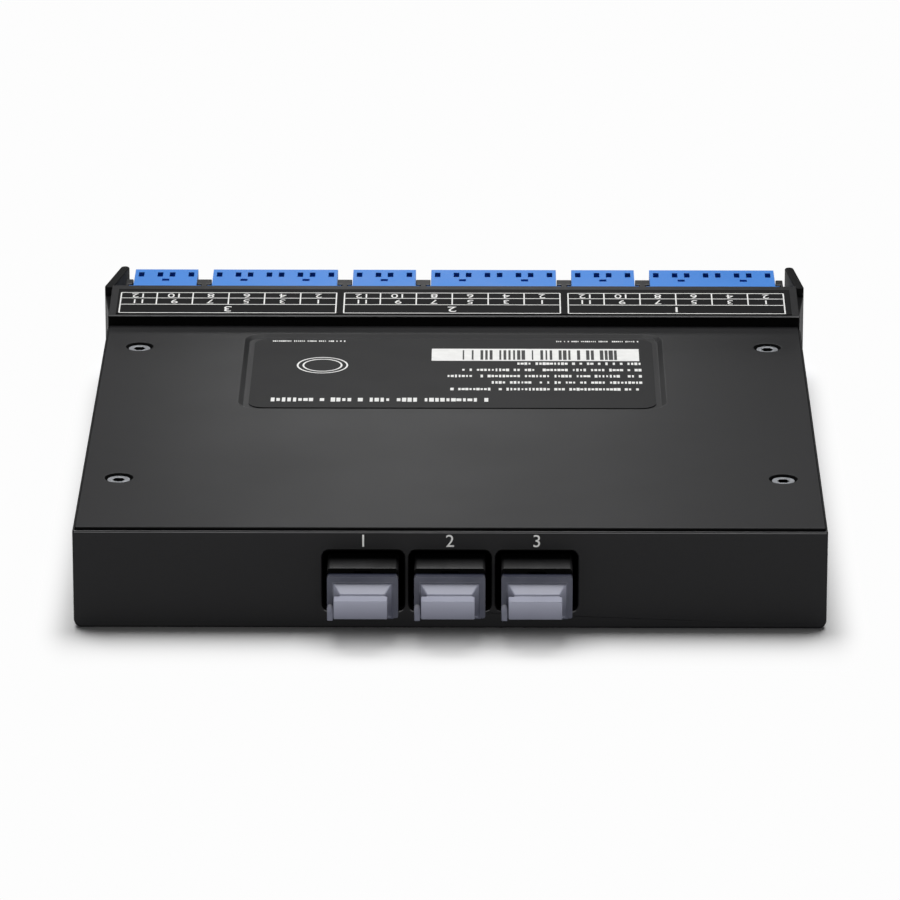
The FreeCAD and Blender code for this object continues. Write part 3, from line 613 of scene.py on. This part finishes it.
# Plain black bars on the white field.
fieldHeight = bigLabel["fieldTop"] - bigLabel["fieldBottom"]
barStart = bigLabel["fieldLeft"] + bigLabel["barEnds"]
barSpan = bigLabel["fieldRight"] - bigLabel["barEnds"] - barStart
barTall = fieldHeight * bigLabel["barTall"]
bars = strokeRow("blackScreenInk", {
    "Start": (barStart, bigLabel["fieldBottom"] + fieldHeight * bigLabel["barMiddle"], 0),
    "Pitch": bigLabel["barPitch"], "Count": int(barSpan / bigLabel["barPitch"]),
    "Narrow": bigLabel["barWidths"][0], "Wide": bigLabel["barWidths"][1], "Short": barTall,
    "Tall": barTall, "Thickness": ink["thick"], "Gaps": bigLabel["barGaps"],
    "Seed": bigLabel["barSeed"]})
printed("big_label_bars", [bars], ground, "blackScreenInk",
        lift=ink["thick"] + ink["lift"])

# The port label on the sloping ridge: three ruled boxes of six columns, one for each rear port.
# "rules" are the distances of the long lines from its rear edge. Sizes in mm.
portLabel = {
    "boxes": 3, "columns": 6, "boxWidth": 42.9, "boxGap": 1.6, "aside": 0.35, "line": 0.26,
    "rules": (0.36, 5.0, 8.5, 11.5), "figure": 2.2, "title": 2.9,
}
corners = [vertex.co for vertex in frame["nodes"]["port_label_strip"].data.vertices]
nearEdge = min(corners, key=lambda place: place.y)
farEdge = max(corners, key=lambda place: place.z)
slope = math.atan2(farEdge.z - nearEdge.z, farEdge.y - nearEdge.y)
ground = (Matrix.Translation((0, nearEdge.y, nearEdge.z)) @ Matrix.Rotation(slope, 4, "X")
          @ Matrix.Rotation(math.pi, 4, "Z"))
top, titleRule, middleRule, bottom = (-rule for rule in portLabel["rules"])
half = portLabel["line"] / 2
marks = []
for box in range(portLabel["boxes"]):
    pitch = portLabel["boxWidth"] + portLabel["boxGap"]
    left = (box - portLabel["boxes"] / 2) * pitch + portLabel["boxGap"] / 2 + portLabel["aside"]
    right = left + portLabel["boxWidth"]
    for y in (top, titleRule, middleRule, bottom):
        marks.append(barMesh(left, right, y - half, y + half))
    for x in (left, right):
        marks.append(barMesh(x - half, x + half, bottom, top))
    column = portLabel["boxWidth"] / portLabel["columns"]
    tall = titleRule - bottom
    marks.append(strokeRow("whiteScreenInk", {
        "Start": (left + column, (titleRule + bottom) / 2, 0), "Pitch": column,
        "Count": portLabel["columns"] - 1, "Narrow": portLabel["line"],
        "Wide": portLabel["line"], "Short": tall, "Tall": tall,
        "Thickness": ink["thick"], "Gaps": 0.0, "Seed": 1}))
    middle = (left + right) / 2
    marks.append(numberMesh(str(box + 1), portLabel["title"], middle, (top + titleRule) / 2))
    for index in range(portLabel["columns"]):
        x = left + (index + 0.5) * column
        for row, y in enumerate(((titleRule + middleRule) / 2, (middleRule + bottom) / 2)):
            marks.append(numberMesh(str(2 * index + row + 1), portLabel["figure"], x, y))
printed("port_label_print", marks, ground, "whiteScreenInk")

# Plain figures over the three rear ports; "below" is from the top of the housing. Sizes in mm.
portFigures = {"height": 2.4, "below": 1.95}
low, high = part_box("base_housing")
figures = []
for number in (1, 2, 3):
    portLow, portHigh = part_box(f"mpo_adapter_{number}")
    x = (portLow.x + portHigh.x) / 2 / mm
    figures.append(numberMesh(str(number), portFigures["height"], x,
                              high.z / mm - portFigures["below"]))
ground = Matrix.Translation((0, low.y, 0)) @ Matrix.Rotation(math.pi / 2, 4, "X")
printed("port_figures", figures, ground, "whiteScreenInk")
print("print done")

# A round floor with a low upright rim, in pale matte paint. Beside the cassette it shows its lit
# paint with the shadow on it, and it turns into even white by "whiteBeyond" from the body, or that
# over "aside" at its two sides. The seen paint is what the camera and reflections meet, and the
# other paint only passes light on. Sizes in metres.
floorLook = {"radius": 8.0, "rim": 1.2, "sides": 96, "paint": "#e6e6e6", "seenPaint": "#fafafa",
             "litWithin": 0.0, "whiteBeyond": 0.022, "aside": 3, "white": 0.982}


def studioFloor():
    material, tree = newMaterial("paleFloorPaint")
    seen = addNode(tree, "ShaderNodeLightPath").outputs
    some = addNode(tree, "ShaderNodeMath", {"operation": "MAXIMUM"},
                   {0: seen["Is Camera Ray"], 1: seen["Is Glossy Ray"]})
    more = addNode(tree, "ShaderNodeMath", {"operation": "MAXIMUM"},
                   {0: some.outputs[0], 1: seen["Is Transmission Ray"]})
    place = addNode(tree, "ShaderNodeTexCoord").outputs["Object"]
    low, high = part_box("base_housing")
    ends = (low.y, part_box("front_bezel")[1].y)
    centre = ((low.x + high.x) / 2, sum(ends) / 2, 0)
    halves = ((high.x - low.x) / 2, (ends[1] - ends[0]) / 2, 1)
    shifted = addNode(tree, "ShaderNodeVectorMath", {"operation": "SUBTRACT"},
                      {0: place, 1: centre})
    folded = addNode(tree, "ShaderNodeVectorMath", {"operation": "ABSOLUTE"},
                     {0: shifted.outputs[0]})
    past = addNode(tree, "ShaderNodeVectorMath", {"operation": "SUBTRACT"},
                   {0: folded.outputs[0], 1: halves})
    outside = addNode(tree, "ShaderNodeVectorMath", {"operation": "MAXIMUM"},
                      {0: past.outputs[0], 1: (0, 0, 0)})
    stretched = addNode(tree, "ShaderNodeVectorMath", {"operation": "MULTIPLY"},
                        {0: outside.outputs[0], 1: (floorLook["aside"], 1, 1)})
    reach = addNode(tree, "ShaderNodeVectorMath", {"operation": "LENGTH"},
                    {0: stretched.outputs[0]})
    away = addNode(tree, "ShaderNodeMapRange", {"interpolation_type": "SMOOTHSTEP"},
                   {"Value": reach.outputs["Value"], "From Min": floorLook["litWithin"],
                    "From Max": floorLook["whiteBeyond"]})
    plain = addNode(tree, "ShaderNodeBsdfDiffuse", None, {"Color": linear(floorLook["paint"])})
    shown = addNode(tree, "ShaderNodeBsdfDiffuse", None, {"Color": linear(floorLook["seenPaint"])})
    white = addNode(tree, "ShaderNodeEmission", None,
                    {"Color": linear("#ffffff"), "Strength": floorLook["white"]})
    sweep = addNode(tree, "ShaderNodeMixShader", None,
                    {0: away.outputs["Result"], 1: shown.outputs[0], 2: white.outputs[0]})
    mixed = addNode(tree, "ShaderNodeMixShader", None,
                    {0: more.outputs[0], 1: plain.outputs[0], 2: sweep.outputs[0]})
    addNode(tree, "ShaderNodeOutputMaterial", None, {"Surface": mixed.outputs[0]})
    count = floorLook["sides"]
    turns = [2 * math.pi * i / count for i in range(count)]
    edge = [(floorLook["radius"] * math.cos(t), floorLook["radius"] * math.sin(t)) for t in turns]
    points = [(x, y, 0) for x, y in edge] + [(x, y, floorLook["rim"]) for x, y in edge]
    faces = [tuple(range(count))]
    faces += [(i, count + i, count + (i + 1) % count, (i + 1) % count) for i in range(count)]
    mesh = bpy.data.meshes.new("studio_floor")
    mesh.from_pydata(points, [], faces)
    mesh.materials.append(material)
    floor = bpy.data.objects.new("studio_floor", mesh)
    floor.location.z = cadBox[0].z
    bpy.context.scene.collection.objects.link(floor)


# A wide soft box hangs above and a little beyond the LC side, so the shadow falls a short way
# towards the rear ports. A small one low on that side gives the cover its sheen, and one low on
# the other side lights the rear wall. The sky is a dim plain white. Places and sizes in metres.
lights = {
    "highBox": {"place": (-0.03, 0.69, 1.47), "size": (1.5, 1.25), "watts": 34.5, "spread": 180},
    "sheenBox": {"place": (-0.01, 0.35, 0.14), "size": (0.11, 0.04), "watts": 0.0085, "spread": 70},
    "frontBox": {"place": (0.0, -1.6, 0.08), "size": (0.8, 0.1), "watts": 7.8, "spread": 180},
}
sky = {"colour": "#ffffff", "strength": 0.04}


def softBox(name, look):
    lamp = bpy.data.lights.new(name, "AREA")
    lamp.shape = "RECTANGLE"
    lamp.size, lamp.size_y = look["size"]
    lamp.energy = look["watts"]
    lamp.spread = math.radians(look["spread"])
    box = bpy.data.objects.new(name, lamp)
    box.location = look["place"]
    aim = Vector((0, 0, 0)) - Vector(look["place"])
    box.rotation_euler = aim.to_track_quat("-Z", "Y").to_euler()
    box.visible_camera = False
    bpy.context.scene.collection.objects.link(box)


studioFloor()
for name, look in lights.items():
    softBox(name, look)
world = bpy.data.worlds.new("studio")
bpy.context.scene.world = world
world.use_nodes = True
background = world.node_tree.nodes["Background"]
background.inputs["Color"].default_value = linear(sky["colour"])
background.inputs["Strength"].default_value = sky["strength"]

# The camera looks down at the rear ports. "lens" is in mm, the angles are in degrees, and the
# distance, the rise over the aim point and the far limit are in metres.
eye = {"lens": 270.9, "elevation": 19.0, "yaw": 0.354, "distance": 1.2273, "rise": 0.0142,
       "far": 20}
camera = bpy.data.cameras.new("camera")
camera.lens = eye["lens"]
camera.clip_end = eye["far"]
tilt, turn = math.radians(eye["elevation"]), math.radians(eye["yaw"])
forward = Vector((-math.sin(turn) * math.cos(tilt), math.cos(turn) * math.cos(tilt),
                  -math.sin(tilt)))
up = forward.cross(Vector((0, 0, 1))).normalized().cross(forward)
target = Vector((0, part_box("base_housing")[0].y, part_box("top_cover")[1].z))
cameraObject = bpy.data.objects.new("camera", camera)
cameraObject.location = target - forward * eye["distance"] + up * eye["rise"]
cameraObject.rotation_euler = forward.to_track_quat("-Z", "Y").to_euler()
bpy.context.scene.collection.objects.link(cameraObject)
bpy.context.scene.camera = cameraObject
bpy.context.scene.view_settings.view_transform = "Standard"
print("floor, light and camera done")
